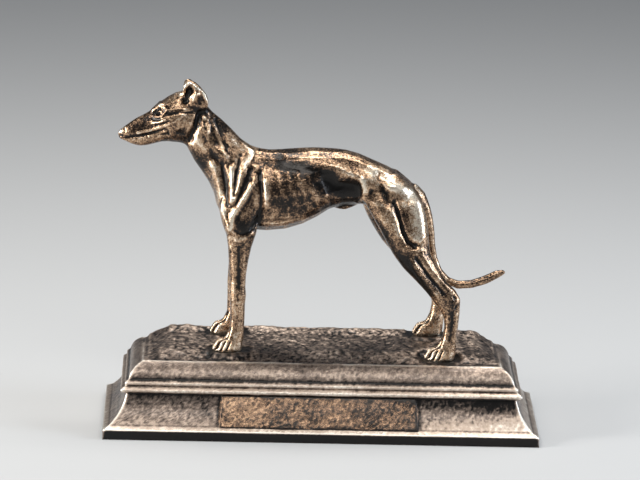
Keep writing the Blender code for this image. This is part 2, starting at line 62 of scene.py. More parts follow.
# Carving on both flanks: height (below 0 for a groove), half width, and line in the side view.
HEAD_STROKES = (
    (0.22, 0.45, ((-63.2, 89.2), (-62.5, 91.0), (-60.9, 91.7), (-59.1, 91.3), (-57.6, 90.2))),
    (-0.45, 0.5, ((-61.5, 88.6), (-61.1, 89.5), (-60.2, 90.1))),
    (0.75, 0.6, ((-60.7, 89.1), (-60.2, 89.3))),
    (0.25, 0.4, ((-62.1, 87.6), (-60.7, 87.2), (-59.2, 88.0), (-58.2, 89.2))),
    (-0.3, 0.8, ((-62.6, 86.6), (-60.4, 86.3))),
    (0.35, 0.42, ((-62.6, 85.0), (-60.4, 85.6), (-58.4, 86.6))),
    (-0.2, 0.4, ((-61.4, 84.4), (-59.4, 85.0), (-57.2, 86.2))),
    (0.25, 0.45, ((-60.0, 83.6), (-57.2, 84.9), (-54.4, 86.6), (-51.4, 88.6))),
    (0.25, 0.55, ((-57.6, 90.0), (-52.8, 90.9), (-48.6, 90.7))),
    (-0.3, 0.45, ((-57.4, 88.9), (-52.8, 89.6), (-48.8, 89.4))),
    (-0.42, 0.36, ((-66.4, 80.0), (-64.0, 81.0), (-61.4, 81.9), (-58.8, 82.7))),
    (-0.18, 0.4, ((-73.6, 78.9), (-70.0, 79.4), (-66.4, 80.0))),
    (0.28, 0.42, ((-64.0, 79.9), (-61.2, 81.0), (-58.6, 81.9))),
    (0.3, 0.5, ((-68.0, 80.9), (-64.0, 82.0), (-60.6, 83.4))),
    (-0.3, 0.38, ((-58.6, 83.4), (-57.2, 82.6), (-57.0, 81.2))),
    (-0.6, 0.55, ((-74.6, 79.4), (-73.6, 79.6))),
    (0.25, 0.45, ((-75.0, 80.9), (-74.0, 81.4))),
    (-0.25, 0.35, ((-73.2, 82.4), (-72.6, 81.2), (-73.0, 80.2))),
    (0.2, 0.8, ((-54.0, 83.6), (-51.4, 84.6))),
    (-0.15, 0.6, ((-56.0, 84.4), (-54.2, 82.2), (-51.0, 81.2))),
    (0.35, 0.5, ((-44.6, 87.8), (-43.3, 86.6), (-42.4, 84.6), (-42.8, 82.4))),
    (-0.45, 0.5, ((-44.2, 85.6), (-43.7, 83.4))),
    (0.3, 0.45, ((-46.4, 87.6), (-46.2, 85.0))),
)
NECK_STROKES = (
    (0.25, 0.6, ((-41.6, 86.2), (-39.6, 81.4), (-37.2, 76.2), (-35.2, 72.4))),
    (-0.2, 0.8, ((-40.2, 86.2), (-38.0, 81.6), (-35.8, 77.0))),
    (0.2, 1.2, ((-46.0, 80.0), (-43.6, 75.6), (-41.4, 71.4))),
    (-0.15, 0.9, ((-44.2, 80.4), (-41.8, 76.4), (-39.6, 72.6))),
    (0.16, 0.5, ((-40.4, 70.2), (-38.7, 64.7), (-38.0, 59.2), (-36.5, 53.6), (-34.9, 49.2))),
    (-0.14, 0.45, ((-37.6, 69.6), (-36.4, 63.2), (-35.6, 57.2), (-35.1, 52.6))),
    (0.18, 0.42, ((-33.9, 70.4), (-33.8, 63.5), (-34.1, 57.9))),
    (-0.14, 0.42, ((-31.4, 72.6), (-32.4, 66.4), (-33.1, 60.0))),
    (0.18, 0.42, ((-26.4, 75.2), (-29.0, 71.0), (-31.0, 65.4), (-32.8, 58.6))),
    (-0.14, 0.42, ((-27.8, 69.6), (-29.8, 63.6), (-32.2, 57.8))),
    (0.12, 0.42, ((-25.4, 71.0), (-27.4, 66.0))),
    (0.2, 0.45, ((-26.4, 64.2), (-29.8, 58.8), (-32.9, 54.0), (-34.0, 48.0))),
    (-0.14, 0.5, ((-26.0, 61.6), (-29.4, 56.2), (-32.0, 51.8))),
    (-0.16, 0.4, ((-23.7, 70.4), (-23.2, 64.0), (-23.2, 58.0), (-23.8, 52.4), (-26.2, 48.6))),
)
TRUNK_STROKES = (
    (0.2, 0.6, ((-22.0, 65.4), (-21.3, 61.0), (-21.4, 57.4))),
    (0.14, 0.5, ((-22.2, 49.4), (-16.4, 49.6), (-9.6, 51.4))),
    (-0.12, 0.8, ((-12.4, 70.4), (-4.0, 69.6), (2.0, 68.6))),
    (0.16, 0.8, ((0.0, 60.4), (4.6, 59.2), (9.4, 59.2))),
    (0.2, 0.6, ((12.8, 66.4), (14.0, 62.6), (13.0, 58.8))),
    (0.25, 0.45, ((10.4, 57.8), (11.8, 56.8))),
)
# Faint ribs: height, half width, first rib's line, and the step to the next.
RIB_STROKE = (0.20, 0.80, ((-17.8, 68.6), (-15.6, 62.4), (-13.4, 55.6)))
RIB_STEP = 3.7
RIB_COUNT = 5
HIND_STROKES = (
    (0.2, 0.8, ((25.2, 64.3), (27.2, 63.2))),
    (0.25, 0.6, ((28.2, 66.4), (29.6, 65.4))),
    (-0.16, 0.5, ((24.8, 58.9), (26.7, 53.4), (28.3, 47.9), (29.8, 45.3))),
    (-0.18, 0.45, ((29.6, 45.0), (31.8, 43.8), (34.4, 44.0), (36.0, 45.6))),
    (0.14, 0.5, ((22.8, 57.2), (25.0, 52.2), (26.8, 47.0))),
    (0.18, 0.5, ((27.4, 42.6), (31.0, 41.8), (34.8, 42.2))),
    (-0.22, 0.4, ((32.8, 39.8), (35.6, 35.6), (38.8, 31.4), (42.8, 26.8))),
    (0.18, 0.38, ((31.2, 39.4), (34.2, 34.8), (37.2, 30.4), (40.8, 25.8))),
    (-0.14, 0.4, ((29.8, 38.4), (33.0, 33.6), (36.2, 29.0))),
    (0.18, 0.42, ((35.2, 40.4), (38.2, 35.8), (41.4, 31.8), (44.4, 28.6))),
    (-0.5, 0.5, ((47.2, 25.0), (47.6, 24.1))),
    (-0.5, 0.5, ((48.2, 21.5), (48.0, 20.6))),
    (0.22, 0.55, ((45.2, 17.6), (44.9, 13.0), (44.4, 8.4))),
    (-0.22, 0.45, ((46.8, 19.0), (46.6, 14.0), (46.0, 8.8))),
    (0.18, 0.45, ((48.4, 18.4), (48.2, 13.6), (47.6, 8.0))),
)
FORELEG_STROKES = (
    (0.25, 0.8, ((-34.6, 46.2), (-34.2, 42.6), (-33.6, 40.6))),
    (-0.25, 0.6, ((-33.0, 47.8), (-30.2, 46.4), (-27.2, 47.4), (-25.4, 49.8))),
    (0.2, 0.6, ((-31.8, 43.8), (-28.8, 44.6), (-26.4, 46.4))),
    (-0.2, 0.5, ((-31.0, 41.2), (-30.8, 34.0), (-30.6, 28.0), (-30.8, 24.4))),
    (0.12, 0.5, ((-33.0, 39.0), (-32.6, 31.0), (-32.4, 25.0))),
    (0.12, 0.45, ((-28.9, 41.0), (-28.9, 33.0), (-28.9, 27.0))),
    (-0.3, 0.6, ((-31.0, 23.6), (-30.8, 21.8))),
    (-0.16, 0.55, ((-30.8, 19.4), (-31.0, 14.6), (-31.2, 10.0))),
    (0.16, 0.55, ((-32.6, 21.6), (-32.6, 14.0), (-32.8, 9.4))),
    (0.16, 0.5, ((-29.2, 20.6), (-29.0, 14.0), (-29.2, 7.0))),
)
EAR_STROKES = (
    (-0.6, 1.3, ((-50.6, 94.6), (-50.0, 96.8))),
    (0.5, 0.6, ((-49.9, 94.2), (-49.5, 95.2))),
    (0.35, 0.45, ((-52.9, 94.4), (-52.4, 97.0), (-51.0, 99.4), (-49.4, 100.6))),
    (0.3, 0.45, ((-47.9, 99.4), (-47.4, 96.6), (-48.4, 93.6))),
    (-0.3, 0.6, ((-45.4, 97.0), (-44.6, 94.0))),
    (0.25, 0.5, ((-46.6, 99.4), (-44.4, 96.0), (-43.2, 92.6))),
)
# What is added to the tail, the height where the ears start, and how much lower the far ear sits.
TAIL_SWELL = 0.40
EAR_FOOT = 91.0
FAR_EAR_DROP = 1.5
EVENING_ROUNDS = 30

# Rubbed and dark patches on both flanks, which also paint highlights and shade into the colour: strength
# (below 0 for dark), half width and line.
RUB_AND_LIGHT_PATCHES = (
    (-0.5, 2.4, ((-39.5, 86.0), (-35.0, 80.0), (-31.0, 77.4))),
    (-0.2, 1.6, ((-71.0, 82.8), (-66.5, 85.2), (-63.6, 86.6))),
    (-0.45, 1.2, ((-61.6, 89.0), (-61.2, 87.4))),
    (0.45, 0.6, ((-63.2, 89.2), (-62.5, 91.0), (-60.9, 91.7), (-59.1, 91.3))),
    (0.55, 1.8, ((-57.0, 85.0), (-51.4, 87.6))),
    (0.4, 1.2, ((-71.0, 77.6), (-66.0, 78.4), (-60.0, 79.4))),
    (0.35, 0.8, ((-68.0, 80.9), (-64.0, 82.0), (-58.4, 84.4))),
    (-0.6, 1.0, ((-75.4, 79.2), (-73.8, 79.0))),
    (0.7, 0.8, ((-75.6, 80.8), (-74.6, 81.2))),
    (0.6, 1.0, ((-52.6, 96.0), (-51.0, 99.8), (-48.8, 101.0), (-46.0, 98.0), (-44.2, 94.6))),
    (-0.8, 1.0, ((-51.2, 94.6), (-50.4, 97.2))),
    (0.9, 0.7, ((-49.8, 94.2), (-49.4, 95.4))),
    (-0.8, 1.1, ((-47.0, 90.4), (-43.8, 89.6), (-46.4, 86.8))),
    (-0.35, 1.0, ((-46.8, 86.0), (-48.8, 81.6))),
    (0.55, 0.9, ((-44.8, 87.6), (-43.4, 84.6))),
    (0.65, 2.0, ((-47.4, 79.4), (-45.0, 76.2))),
    (0.95, 1.8, ((-35.4, 80.4), (-31.4, 77.6), (-26.0, 76.0))),
    (0.55, 2.4, ((-31.0, 73.0), (-27.0, 70.0))),
    (0.35, 1.2, ((-41.0, 84.0), (-37.0, 76.4))),
    (-0.4, 2.0, ((-47.6, 74.4), (-44.0, 69.0))),
    (0.85, 1.9, ((-40.4, 69.6), (-38.8, 62.0), (-36.8, 54.4))),
    (0.7, 0.8, ((-33.9, 70.0), (-33.8, 58.0))),
    (0.4, 1.0, ((-27.0, 74.6), (-31.4, 65.0), (-33.0, 58.6))),
    (0.75, 1.2, ((-27.4, 63.0), (-33.4, 53.6), (-34.0, 46.0))),
    (-0.35, 1.6, ((-28.0, 67.4), (-31.0, 61.0))),
    (-0.75, 2.0, ((-30.4, 50.0), (-27.0, 48.0), (-25.2, 51.0))),
    (0.55, 1.0, ((-22.0, 65.2), (-21.2, 60.0))),
    (-0.7, 2.4, ((-15.0, 71.0), (-5.0, 70.4), (2.0, 68.4))),
    (-0.35, 1.4, ((-24.0, 75.6), (-8.0, 75.2), (6.0, 75.0))),
    (-0.35, 3.0, ((-16.0, 58.0), (-8.0, 57.0))),
    (0.4, 1.0, ((-21.0, 49.6), (-12.0, 50.6))),
    (-1.2, 3.0, ((1.0, 64.0), (6.0, 62.6), (10.4, 62.6))),
    (0.3, 2.2, ((-4.0, 73.0), (4.0, 70.6), (11.0, 68.0))),
    (0.8, 1.4, ((13.2, 66.4), (14.0, 62.0), (13.0, 58.8))),
    (0.6, 1.4, ((26.0, 63.8), (27.4, 63.2))),
    (0.5, 3.0, ((15.0, 63.0), (20.0, 58.0))),
    (-0.45, 1.6, ((28.0, 55.0), (30.4, 48.0))),
    (1.05, 2.8, ((31.4, 61.0), (33.0, 54.0), (33.6, 46.0))),
    (0.85, 3.4, ((17.0, 70.0), (24.0, 66.0), (29.0, 61.0))),
    (-0.5, 1.2, ((19.0, 52.0), (24.0, 44.0), (31.0, 34.0))),
    (-0.8, 2.2, ((30.0, 38.0), (38.0, 27.0))),
    (0.3, 0.8, ((31.2, 39.4), (36.0, 32.4), (40.8, 25.8))),
    (-0.4, 1.4, ((-31.0, 49.0), (-29.0, 46.6))),
    (0.6, 1.0, ((-34.2, 44.6), (-29.0, 44.6))),
    (-0.5, 0.9, ((-30.8, 41.0), (-30.8, 26.0))),
    (0.5, 1.8, ((-31.4, 21.0), (-31.4, 8.0))),
    (0.3, 0.8, ((-33.2, 40.0), (-32.4, 24.0))),
    (-0.45, 1.6, ((46.4, 22.0), (46.4, 14.0))),
    (0.45, 0.9, ((44.9, 15.0), (44.4, 7.0))),
)

# Paws: leg's side, longest toe's tip x, middle y, sole height, all in figure units.
PAWS = (
    (-1, -39.6, 8.2, 2.2),
    (1, -40.8, 8.2, 4.3),
    (-1, 37.2, 10.1, 0.7),
    (1, 33.3, 10.1, 4.7),
)
PAW_LENGTH = 10.4
PAW_HALF_WIDTH = 3.9
# Where the toes lie across a paw.
TOE_PLACES = (-2.45, -0.85, 0.85, 2.45)
# Knuckles along a toe: height, and place behind the toe's tip.
KNUCKLES = ((0.30, 2.2), (0.25, 4.6))
# Gaps between the toes on a paw's outer side, from above: distance behind the tip, and height.
SIDE_GAPS = (((2.9, 4.8), (1.2, 0.3)), ((4.6, 4.3), (3.1, 0.3)), ((6.3, 3.8), (5.0, 0.3)))

# Plinth mouldings from the floor up, and the tablet: the same sizes as the solid's.
RIM_HEIGHT = 0.0064
LEDGE_INSET = 0.0040
LEDGE_RISE = 0.0020
PANEL_INSET = 0.0107
PANEL_HEIGHT = 0.0185
PANEL_HOLLOW = 0.0016
BEAD_OUT = 0.0037
BEAD_RADIUS = 0.0013
BEAD_STEP = 0.0025
BEAD_PITCH = 0.0040
BEAD_ROWS = 2
OVOLO_INSET = 0.0088
OVOLO_HEIGHT = 0.0101
OVOLO_BEND = (0.14, 0.68)
TABLET_LENGTH = 0.1285
TABLET_TAPER = 0.0018
TABLET_PROUD = 0.0010
# The rest is the scene's own: the tablet's place along the panel, how its ends slope, and how far
# it goes into the panel.
TABLET_SHIFT = -0.0015
TABLET_SLOPE = 0.5
TABLET_DEPTH = 0.004
TABLET_SUNK = 0.0006
TABLET_BEVEL = 0.0004
CURVE_STEPS = 10
OUTLINE_POINTS = 480
PROFILE_ROWS = 74
CORNER_ROUNDING = (0.0006, 0.0018)
# Points that are closer than this touch.
TOUCH = 1e-6

# How the ground rises from the near edge, at 0, to the far edge, at 1: share, start and end.
MOUND = ((0.45, 0.0, 0.3), (0.30, 0.25, 0.8), (0.25, 0.7, 0.9))
# From here on it falls to the far edge.
MOUND_FALL = 0.88
# At each end the ground falls to this share, over this share of the half length.
END_SHARE = 0.25
END_FADE = 0.16
# Level pads under the paws, and the strip along the top edge where the ground comes down to it.
PAD_MARGIN = 0.0022
PAD_FADE = 1.45
GROUND_LIP = 0.0036

# Noise layers: height or share, size, octaves and seed.
GROUND_LUMPS = ((0.0006, 0.013, 2, 3.0), (0.0005, 0.0050, 3, 9.0), (0.00022, 0.0022, 2, 21.0))
WAVES = ((1.0, 0.024, 2, 5.0), (0.55, 0.0055, 3, 14.0), (0.35, 0.0018, 2, 33.0))
TABLET_LUMPS = ((0.00016, 0.012, 3, 41.0), (0.00010, 0.002, 2, 47.0))

# Finish: the size of the grain, how much the patina varies, the wax over it and the colour of the dirt
# and the painted shade.
PATINA_GROUP = "Rubbed patina"
PLINTH_GRAIN = 0.0010
FIGURE_GRAIN = 0.0008
PLINTH_CONTRAST = 0.9
FIGURE_CONTRAST = 2.2
WAX_WEIGHT = 0.20
WAX_ROUGHNESS = 0.22
DIRT_AND_SHADE = (0.006, 0.0055, 0.005, 1.0)

# Stage: the camera's rise, turn and roll in degrees, what it and the lights aim at, and the floor.
CAMERA_ANGLES = (14.0, -1.3, 1.44)
CAMERA_AIM = Vector((-0.00261, 0.0, 0.1209))
SENSOR_WIDTH = 36.0
LIGHT_AIM = Vector((0.0, 0.0, 0.10))
CHEST_SHARE = 1.7
FLOOR_WIDTH = 9.0


def smooth_step(low, high, value):
    t = np.clip((np.asarray(value, float) - low) / (high - low), 0.0, 1.0)
    return t * t * (3.0 - 2.0 * t)


def band(value, rise, fall):
    """1 between a rise and a fall, each given by where it starts and ends."""
    return smooth_step(*rise, value) * (1 - smooth_step(*fall, value))


def deselect_all():
    if bpy.context.object and bpy.context.object.mode != "OBJECT":
        bpy.ops.object.mode_set(mode="OBJECT")
    bpy.ops.object.select_all(action="DESELECT")


def make_active(obj):
    deselect_all()
    obj.select_set(True)
    bpy.context.view_layer.objects.active = obj


def apply_all(obj):
    make_active(obj)
    for modifier in list(obj.modifiers):
        bpy.ops.object.modifier_apply(modifier=modifier.name)


def cut_edges(obj, axis, counts, straight, shortest=0.0):
    """Cuts the edges that run along an axis, once for each count, in edit mode."""
    for count in counts:
        bpy.ops.mesh.select_all(action="DESELECT")
        mesh = bmesh.from_edit_mesh(obj.data)
        for edge in mesh.edges:
            run = edge.verts[0].co - edge.verts[1].co
            edge.select_set(run.length > shortest and abs(run[axis]) > straight * run.length)
        bmesh.update_edit_mesh(obj.data)
        bpy.ops.mesh.subdivide(number_cuts=count)


def read_out(items, name, width, kind=np.float32):
    values = np.empty(len(items) * width, kind)
    items.foreach_get(name, values)
    return values.reshape(-1, width)


def points_of(mesh):
    return read_out(mesh.vertices, "co", 3).astype(float)


def normals_of(mesh):
    return read_out(mesh.vertices, "normal", 3).astype(float)


def edges_of(mesh):
    return read_out(mesh.edges, "vertices", 2, np.int32)


def set_points(mesh, points):
    mesh.vertices.foreach_set("co", points.astype(np.float32).ravel())
    mesh.update()


def set_mask(mesh, name, values):
    attribute = mesh.attributes.get(name) or mesh.attributes.new(name, "FLOAT", "POINT")
    attribute.data.foreach_set("value", np.asarray(values, np.float32))


def spread(values, edges, rounds, factor=0.5):
    """Averages values along the edges, which moves each one towards its neighbours."""
    a, b = edges.T
    count = len(values)
    share = np.maximum(np.bincount(a, minlength=count) + np.bincount(b, minlength=count), 1)
    flat = values.reshape(count, -1).astype(float)
    for _ in range(rounds):
        total = np.empty_like(flat)
        for i in range(flat.shape[1]):
            total[:, i] = np.bincount(a, flat[b, i], count) + np.bincount(b, flat[a, i], count)
        flat = flat + factor * (total / share[:, None] - flat)
    return flat.reshape(values.shape)


def evened(points, normals, edges, rounds):
    """Smooths a surface, then gives back what the smoothing took off its thin parts."""
    made = points
    for _ in range(rounds):
        made = spread(made, edges, 1, 0.5)
        made = spread(made, edges, 1, -0.52)
    lost = ((points - made) * normals).sum(axis=1)
    return made + normals * spread(lost, edges, 24)[:, None]


def stands_proud(points, normals, edges, rounds):
    """How far each point stands out of the surface's average around it, in millimetres."""
    return ((points - spread(points, edges, rounds)) * normals).sum(axis=1) * 1000


def distance_to_line(places, line):
    best = np.full(len(places), 1e9)
    for start, end in zip(line, line[1:]):
        a = np.array(start)
        along = np.array(end) - a
        t = np.clip(((places - a) @ along) / (along @ along), 0.0, 1.0)
        away = places - (a + t[:, None] * along)
        best = np.minimum(best, np.hypot(away[:, 0], away[:, 1]))
    return best


def stroked(places, strokes):
    """Sum of the strokes' heights at places in the side view."""
    total = np.zeros(len(places))
    for height, width, line in strokes:
        corners = np.array(line)
        low = corners.min(axis=0) - 3 * width
        high = corners.max(axis=0) + 3 * width
        near = np.flatnonzero(((places > low) & (places < high)).all(axis=1))
        if len(near):
            away = distance_to_line(places[near], line)
            total[near] += height * np.exp(-((away / width) ** 2))
    return total


def lumpy(points, scale, octaves=3, seed=0.0):
    """Fractal noise at each point, about -1 to 1, with features of the given size."""
    offset = Vector((seed, 1.7 * seed, -seed))
    places = (Vector(point) / scale + offset for point in points)
    made = [noise.fractal(p, 1.0, 2.0, octaves, noise_basis="PERLIN_ORIGINAL") for p in places]
    return np.array(made)


def layered(points, layers):
    """Sum of noise layers, each with its height, size, octaves and seed."""
    return sum(height * lumpy(points, *layer) for height, *layer in layers)


def panel_foot():
    return LEDGE_INSET, RIM_HEIGHT + LEDGE_RISE


def panel_head():
    inset, height = panel_foot()
    return inset + PANEL_INSET, height + PANEL_HEIGHT


def control_profile():
    """The mouldings' outline, as inset from the rim and height."""
    foot = panel_foot()
    head = panel_head()
    made = [(0.0, 0.0), (0.0, RIM_HEIGHT)]
    for step in range(CURVE_STEPS + 1):
        share = step / CURVE_STEPS
        hollow = PANEL_HOLLOW * math.sin(math.pi * share)
        inset = foot[0] + PANEL_INSET * share + hollow
        made.append((inset, foot[1] + PANEL_HEIGHT * share - hollow / 2))
    inset = head[0] - BEAD_OUT
    height = head[1] + 2 * BEAD_RADIUS
    for _ in range(BEAD_ROWS):
        for angle in range(-70, 71, 20):
            turn = math.radians(angle)
            out = BEAD_RADIUS * math.cos(turn)
            made.append((inset + BEAD_RADIUS - out, height + BEAD_RADIUS * math.sin(turn)))
        inset += BEAD_STEP
        height += BEAD_PITCH
    start = Vector((head[0] + BEAD_STEP / 2, height - BEAD_PITCH + 2 * BEAD_RADIUS))
    bend = start + Vector((OVOLO_BEND[0] * OVOLO_INSET, OVOLO_BEND[1] * OVOLO_HEIGHT))
    end = start + Vector((OVOLO_INSET, OVOLO_HEIGHT))
    for step in range(CURVE_STEPS + 1):
        share = step / CURVE_STEPS
        point = start.lerp(bend, share).lerp(bend.lerp(end, share), share)
        made.append((point.x, point.y))
    return np.array(made)


def resampled(line, gaps):
    """Points along a line at the given shares of its length."""
    steps = np.hypot(*np.diff(line, axis=0).T)
    along = np.concatenate([[0.0], np.cumsum(steps)])
    return np.stack([np.interp(gaps * along[-1], along, line[:, i]) for i in range(2)], axis=1)


def fine_profile():
    """The outline with its edges rounded, its rows closer together where it turns."""
    even = np.linspace(0, 1, OUTLINE_POINTS)
    line = resampled(control_profile(), even)
    for _ in range(5):
        line[1:-1] = (line[:-2] + 2 * line[1:-1] + line[2:]) / 4
    headings = np.unwrap(np.arctan2(*np.diff(line, axis=0).T[::-1]))
    turn = np.abs(np.diff(headings, prepend=headings[0]))
    turn = np.convolve(turn, np.ones(9) / 9, mode="same")
    weight = np.cumsum(1.0 + 22.0 * turn)
    weight = np.concatenate([[0.0], weight]) / weight[-1]
    rows = np.linspace(0, 1, PROFILE_ROWS)
    return resampled(line, np.interp(rows, weight, even))


def top_edge():
    inset, height = control_profile()[-1]
    return RIM.x - inset, RIM.y - inset, height


def foot_places():
    """Each paw's middle x, y, half length, half width and sole height, in metres."""
    height = top_edge()[2]
    made = []
    for side, tip, spread_out, sole in PAWS:
        half = (PAW_LENGTH + 0.5) / 2
        place = ((tip + half) * UNIT, side * spread_out * UNIT, half * UNIT)
        made.append((*place, PAW_HALF_WIDTH * UNIT, sole * UNIT + height))
    return made


def ground_height(points, rise):
    """Height of the rough ground over the plinth's top edge."""
    half_x, half_y, edge = top_edge()
    x, y = points[:, 0], points[:, 1]
    across = np.clip((y + half_y) / (2 * half_y), 0, 1)
    from_end = np.clip(1 - np.abs(x) / half_x, 0, 1)
    mound = sum(share * smooth_step(start, end, across) for share, start, end in MOUND)
    mound = mound * (1 - smooth_step(MOUND_FALL, 1.0, across))
    mound = mound * (END_SHARE + (1 - END_SHARE) * smooth_step(0.0, END_FADE, from_end))
    inside = np.clip(np.minimum(half_x - np.abs(x), half_y - np.abs(y)) / GROUND_LIP, 0, 1)
    lumps = layered(points, GROUND_LUMPS)
    height = rise * mound + lumps
    for px, py, half, width, sole in foot_places():
        away = np.hypot((x - px) / (half + PAD_MARGIN), (y - py) / (width + PAD_MARGIN))
        away += 0.25 * lumpy(points, 0.006, 2, 27.0)
        weight = 1 - smooth_step(0.9, PAD_FADE, away)
        height = height * (1 - weight) + (sole + 0.0001 - edge + 0.35 * lumps) * weight
    return height * inside


def number_setting(name, description, default, subtype="NONE"):
    return bpy.props.FloatProperty(name=name, description=description, subtype=subtype, default=default)


def colour_setting(name, description, default):
    return bpy.props.FloatVectorProperty(
        name=name, description=description, subtype="COLOR", size=3, default=default
    )


class StatueStageSettings(bpy.types.PropertyGroup):
    floor_colour: colour_setting("Floor colour", "Colour of the plain floor", (0.50, 0.51, 0.52))
    key_power: number_setting(
        "Overhead light", "Power of the large soft light above and behind the statue", 13.5, "POWER"
    )
    front_power: number_setting("Front light", "Power of the soft light above the camera", 11.0, "POWER")
    side_power: number_setting(
        "Side lights", "Power of the soft lights at the dog's chest and rump", 12.0, "POWER"
    )
    room_light: number_setting("Room light", "Brightness of the even light from the room", 0.16)
    lens: number_setting("Focal length", "Focal length of the camera in millimetres", 276.3)
    camera_distance: number_setting(
        "Camera distance", "Distance from the camera to the middle of the statue", 3.169, "DISTANCE"
    )


class StatuePlinthSettings(bpy.types.PropertyGroup):
    ground_rise: number_setting(
        "Ground rise", "How far the ground rises towards the far side", 0.0105, "DISTANCE"
    )
    wobble: number_setting(
        "Cast waviness", "How far the mouldings wander from straight", 0.00022, "DISTANCE"
    )
    grain_height: number_setting(
        "Grain", "Height of the cast grain on the mouldings", 0.00060, "DISTANCE"
    )


class StatueFigureSettings(bpy.types.PropertyGroup):
    voxel: number_setting(
        "Surface step", "Size of the steps in which the dog's surface is carved", 0.00052, "DISTANCE"
    )
    carving: number_setting("Carving", "Strength of the carved strokes", 1.0)
    triangles: bpy.props.IntProperty(
        name="Triangles", description="Triangles of the finished dog", default=190000
    )
    grain_height: number_setting("Grain", "Height of the cast grain on the dog", 0.00026, "DISTANCE")


class StatuePatinaSettings(bpy.types.PropertyGroup):
    # These colours also give the painted highlights and shade their colour.
    dark_colour: colour_setting(
        "Dark patina", "Colour of the patina where nothing has rubbed it", (0.016, 0.014, 0.013)
    )
    brown_colour: colour_setting(
        "Brown patina", "Colour of the patina where it is half rubbed", (0.17, 0.105, 0.068)
    )
    copper_colour: colour_setting("Copper", "Colour of the rubbed metal", (0.52, 0.34, 0.21))
    gold_colour: colour_setting("Pale bronze", "Colour of the most rubbed edges", (0.96, 0.84, 0.68))


def new_material(name):
    made = bpy.data.materials.new(name)
    made.use_nodes = True
    return made, made.node_tree.nodes["Principled BSDF"]


